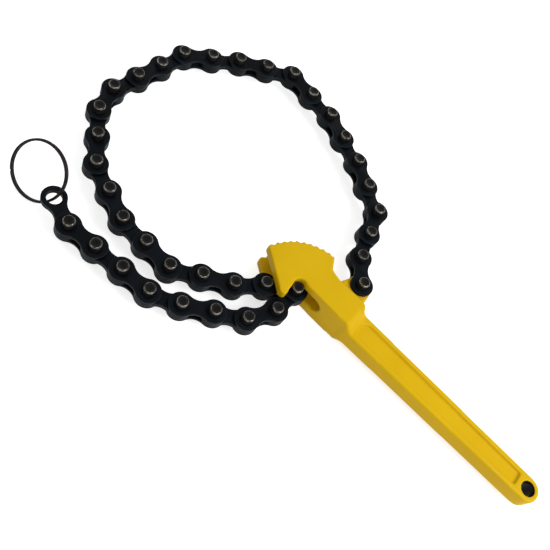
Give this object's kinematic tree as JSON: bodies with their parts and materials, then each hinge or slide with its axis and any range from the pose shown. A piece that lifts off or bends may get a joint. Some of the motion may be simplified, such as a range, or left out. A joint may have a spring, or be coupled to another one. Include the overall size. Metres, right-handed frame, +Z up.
{
  "type": "chain pipe wrench",
  "caption": "Chain pipe wrench: yellow forged handle with a forked toothed jaw, a dark leaf chain looped from its ear and hooked over the jaw, and a split ring at the free end.",
  "frame": {"origin": "centre of the hang hole, in the middle plane of the handle", "axes": "+X along the handle from the jaw to the hang hole, +Z up along the pins, +Y to the side of the handle where the ear stands"},
  "size_m": [0.2378, 0.1394, 0.0208],
  "materials": {
    "handle_paint": "gloss yellow enamel",
    "chain_steel": "dark oiled",
    "pin_steel": "satin",
    "ring_steel": "satin"
  },
  "bodies": {
    "handle": {"handle": "handle_paint"},
    "link_01": {"link_01_plates": "chain_steel", "link_01_pins": "pin_steel"},
    "link_02": {"link_02_plates": "chain_steel"},
    "link_03": {"link_03_plates": "chain_steel", "link_03_pins": "pin_steel"},
    "link_04": {"link_04_plates": "chain_steel"},
    "link_05": {"link_05_plates": "chain_steel", "link_05_pins": "pin_steel"},
    "link_06": {"link_06_plates": "chain_steel"},
    "link_07": {"link_07_plates": "chain_steel", "link_07_pins": "pin_steel"},
    "link_08": {"link_08_plates": "chain_steel"},
    "link_09": {"link_09_plates": "chain_steel", "link_09_pins": "pin_steel"},
    "link_10": {"link_10_plates": "chain_steel"},
    "link_11": {"link_11_plates": "chain_steel", "link_11_pins": "pin_steel"},
    "link_12": {"link_12_plates": "chain_steel"},
    "link_13": {"link_13_plates": "chain_steel", "link_13_pins": "pin_steel"},
    "link_14": {"link_14_plates": "chain_steel"},
    "link_15": {"link_15_plates": "chain_steel", "link_15_pins": "pin_steel"},
    "link_16": {"link_16_plates": "chain_steel"},
    "link_17": {"link_17_plates": "chain_steel", "link_17_pins": "pin_steel"},
    "link_18": {"link_18_plates": "chain_steel"},
    "link_19": {"link_19_plates": "chain_steel", "link_19_pins": "pin_steel"},
    "link_20": {"link_20_plates": "chain_steel"},
    "link_21": {"link_21_plates": "chain_steel", "link_21_pins": "pin_steel"},
    "link_22": {"link_22_plates": "chain_steel"},
    "link_23": {"link_23_plates": "chain_steel", "link_23_pins": "pin_steel"},
    "link_24": {"link_24_plates": "chain_steel"},
    "link_25": {"link_25_plates": "chain_steel", "link_25_pins": "pin_steel"},
    "link_26": {"link_26_plates": "chain_steel"},
    "link_27": {"link_27_plates": "chain_steel", "link_27_pins": "pin_steel"},
    "link_28": {"link_28_plates": "chain_steel"},
    "link_29": {"link_29_plates": "chain_steel", "link_29_pins": "pin_steel"},
    "link_30": {"link_30_plates": "chain_steel"},
    "link_31": {"link_31_plates": "chain_steel", "link_31_pins": "pin_steel"},
    "link_32": {"link_32_plates": "chain_steel"},
    "link_33": {"link_33_plates": "chain_steel", "link_33_pins": "pin_steel"},
    "link_34": {"link_34_plates": "chain_steel"},
    "link_35": {"link_35_plates": "chain_steel", "link_35_pins": "pin_steel"},
    "link_36": {"link_36_plates": "chain_steel"},
    "split_ring": {"split_ring": "ring_steel"}
  },
  "joints": [
    {"name": "ear_pivot", "type": "hinge", "parent": "handle", "child": "link_01", "pos_m": [-0.0998, 0.0168, 0], "axis": [0, 0, 1], "range_deg": [0, 40]},
    {"name": "pin_02_pivot", "type": "hinge", "parent": "link_01", "child": "link_02", "pos_m": [-0.10787, 0.0266, 0], "axis": [0, 0, 1], "range_deg": [0, 2.27]},
    {"name": "pin_03_pivot", "type": "hinge", "parent": "link_02", "child": "link_03", "pos_m": [-0.1121, 0.03858, 0], "axis": [0, 0, 1], "range_deg": [-2.53, 0]},
    {"name": "pin_04_pivot", "type": "hinge", "parent": "link_03", "child": "link_04", "pos_m": [-0.11631, 0.05056, 0], "axis": [0, 0, 1], "range_deg": [-2.75, 0]},
    {"name": "pin_05_pivot", "type": "hinge", "parent": "link_04", "child": "link_05", "pos_m": [-0.12723, 0.05704, 0], "axis": [0, 0, 1], "range_deg": [-5.93, 0]},
    {"name": "pin_06_pivot", "type": "hinge", "parent": "link_05", "child": "link_06", "pos_m": [-0.13815, 0.06353, 0], "axis": [0, 0, 1], "range_deg": [0, 6]},
    {"name": "pin_07_pivot", "type": "hinge", "parent": "link_06", "child": "link_07", "pos_m": [-0.15002, 0.06803, 0], "axis": [0, 0, 1], "range_deg": [0, 6]},
    {"name": "pin_08_pivot", "type": "hinge", "parent": "link_07", "child": "link_08", "pos_m": [-0.1619, 0.07254, 0], "axis": [0, 0, 1], "range_deg": [0, 6]},
    {"name": "pin_09_pivot", "type": "hinge", "parent": "link_08", "child": "link_09", "pos_m": [-0.17453, 0.07384, 0], "axis": [0, 0, 1], "range_deg": [-5.33, 0]},
    {"name": "pin_10_pivot", "type": "hinge", "parent": "link_09", "child": "link_10", "pos_m": [-0.18716, 0.07514, 0], "axis": [0, 0, 1], "range_deg": [-4.22, 0]},
    {"name": "pin_11_pivot", "type": "hinge", "parent": "link_10", "child": "link_11", "pos_m": [-0.19703, 0.06714, 0], "axis": [0, 0, 1], "range_deg": [-2.35, 0]},
    {"name": "pin_12_pivot", "type": "hinge", "parent": "link_11", "child": "link_12", "pos_m": [-0.20689, 0.05915, 0], "axis": [0, 0, 1], "range_deg": [0, 1.86]},
    {"name": "pin_13_pivot", "type": "hinge", "parent": "link_12", "child": "link_13", "pos_m": [-0.21523, 0.04957, 0], "axis": [0, 0, 1], "range_deg": [0, 0.978]},
    {"name": "pin_14_pivot", "type": "hinge", "parent": "link_13", "child": "link_14", "pos_m": [-0.22358, 0.03999, 0], "axis": [0, 0, 1], "range_deg": [-6, 0]},
    {"name": "pin_15_pivot", "type": "hinge", "parent": "link_14", "child": "link_15", "pos_m": [-0.22493, 0.02737, 0], "axis": [0, 0, 1], "range_deg": [0, 6]},
    {"name": "pin_16_pivot", "type": "hinge", "parent": "link_15", "child": "link_16", "pos_m": [-0.2263, 0.01474, 0], "axis": [0, 0, 1], "range_deg": [0, 6]},
    {"name": "pin_17_pivot", "type": "hinge", "parent": "link_16", "child": "link_17", "pos_m": [-0.22767, 0.00212, 0], "axis": [0, 0, 1], "range_deg": [-6, 0]},
    {"name": "pin_18_pivot", "type": "hinge", "parent": "link_17", "child": "link_18", "pos_m": [-0.22359, -0.00991, 0], "axis": [0, 0, -1], "range_deg": [0, 10]},
    {"name": "pin_19_pivot", "type": "hinge", "parent": "link_18", "child": "link_19", "pos_m": [-0.21482, -0.0191, 0], "axis": [0, 0, -1], "range_deg": [0, 10]},
    {"name": "pin_20_pivot", "type": "hinge", "parent": "link_19", "child": "link_20", "pos_m": [-0.20606, -0.02829, 0], "axis": [0, 0, -1], "range_deg": [0, 10]},
    {"name": "pin_21_pivot", "type": "hinge", "parent": "link_20", "child": "link_21", "pos_m": [-0.19423, -0.03292, 0], "axis": [0, 0, -1], "range_deg": [0, 10]},
    {"name": "pin_22_pivot", "type": "hinge", "parent": "link_21", "child": "link_22", "pos_m": [-0.18241, -0.03756, 0], "axis": [0, 0, -1], "range_deg": [0, 10]},
    {"name": "pin_23_pivot", "type": "hinge", "parent": "link_22", "child": "link_23", "pos_m": [-0.16972, -0.03789, 0], "axis": [0, 0, -1], "range_deg": [0, 10]},
    {"name": "pin_24_pivot", "type": "hinge", "parent": "link_23", "child": "link_24", "pos_m": [-0.15702, -0.03823, 0], "axis": [0, 0, -1], "range_deg": [0, 10]},
    {"name": "pin_25_pivot", "type": "hinge", "parent": "link_24", "child": "link_25", "pos_m": [-0.14642, -0.03124, 0], "axis": [0, 0, -1], "range_deg": [0, 10]},
    {"name": "pin_26_pivot", "type": "hinge", "parent": "link_25", "child": "link_26", "pos_m": [-0.13581, -0.02425, 0], "axis": [0, 0, -1], "range_deg": [0, 10]},
    {"name": "pin_27_pivot", "type": "hinge", "parent": "link_26", "child": "link_27", "pos_m": [-0.12737, -0.01477, 0], "axis": [0, 0, -1], "range_deg": [0, 10]},
    {"name": "pin_28_pivot", "type": "hinge", "parent": "link_27", "child": "link_28", "pos_m": [-0.1174, -0.0069, 0], "axis": [0, 0, 1], "range_deg": [0, 90]},
    {"name": "pin_29_pivot", "type": "hinge", "parent": "link_28", "child": "link_29", "pos_m": [-0.1174, -0.0196, 0], "axis": [0, 0, 1], "range_deg": [0, 45]},
    {"name": "pin_30_pivot", "type": "hinge", "parent": "link_29", "child": "link_30", "pos_m": [-0.12277, -0.03111, 0], "axis": [0, 0, 1], "range_deg": [0, 45]},
    {"name": "pin_31_pivot", "type": "hinge", "parent": "link_30", "child": "link_31", "pos_m": [-0.13317, -0.03839, 0], "axis": [0, 0, 1], "range_deg": [0, 45]},
    {"name": "pin_32_pivot", "type": "hinge", "parent": "link_31", "child": "link_32", "pos_m": [-0.14357, -0.04568, 0], "axis": [0, 0, 1], "range_deg": [0, 45]},
    {"name": "pin_33_pivot", "type": "hinge", "parent": "link_32", "child": "link_33", "pos_m": [-0.15508, -0.05105, 0], "axis": [0, 0, 1], "range_deg": [0, 45]},
    {"name": "pin_34_pivot", "type": "hinge", "parent": "link_33", "child": "link_34", "pos_m": [-0.16773, -0.05215, 0], "axis": [0, 0, 1], "range_deg": [0, 45]},
    {"name": "pin_35_pivot", "type": "hinge", "parent": "link_34", "child": "link_35", "pos_m": [-0.18039, -0.05326, 0], "axis": [0, 0, 1], "range_deg": [0, 45]},
    {"name": "pin_36_pivot", "type": "hinge", "parent": "link_35", "child": "link_36", "pos_m": [-0.19304, -0.05437, 0], "axis": [0, 0, 1], "range_deg": [0, 45]},
    {"name": "ring_swing", "type": "hinge", "parent": "link_36", "child": "split_ring", "pos_m": [-0.20497, -0.05002, 0], "axis": [0.9448, -0.2008, -0.2588], "range_deg": [0, 80]}
  ],
  "couplings": [
    {"joint": "pin_02_pivot", "follows": "pin_08_pivot", "ratio": 0.379},
    {"joint": "pin_03_pivot", "follows": "pin_06_pivot", "ratio": -0.422},
    {"joint": "pin_04_pivot", "follows": "pin_07_pivot", "ratio": -0.459},
    {"joint": "pin_05_pivot", "follows": "pin_08_pivot", "ratio": -0.988},
    {"joint": "pin_09_pivot", "follows": "pin_06_pivot", "ratio": -0.889},
    {"joint": "pin_10_pivot", "follows": "pin_07_pivot", "ratio": -0.704},
    {"joint": "pin_11_pivot", "follows": "pin_08_pivot", "ratio": -0.391},
    {"joint": "pin_12_pivot", "follows": "pin_06_pivot", "ratio": 0.31},
    {"joint": "pin_13_pivot", "follows": "pin_07_pivot", "ratio": 0.163},
    {"joint": "pin_14_pivot", "follows": "pin_15_pivot", "ratio": -1},
    {"joint": "pin_16_pivot", "follows": "pin_15_pivot", "ratio": 1},
    {"joint": "pin_17_pivot", "follows": "pin_15_pivot", "ratio": -1},
    {"joint": "pin_19_pivot", "follows": "pin_18_pivot", "ratio": 1},
    {"joint": "pin_20_pivot", "follows": "pin_18_pivot", "ratio": 1},
    {"joint": "pin_21_pivot", "follows": "pin_18_pivot", "ratio": 1},
    {"joint": "pin_22_pivot", "follows": "pin_18_pivot", "ratio": 1},
    {"joint": "pin_23_pivot", "follows": "pin_18_pivot", "ratio": 1},
    {"joint": "pin_24_pivot", "follows": "pin_18_pivot", "ratio": 1},
    {"joint": "pin_25_pivot", "follows": "pin_18_pivot", "ratio": 1},
    {"joint": "pin_26_pivot", "follows": "pin_18_pivot", "ratio": 1},
    {"joint": "pin_27_pivot", "follows": "pin_18_pivot", "ratio": 1},
    {"joint": "pin_28_pivot", "follows": "pin_18_pivot", "ratio": 9}
  ]
}
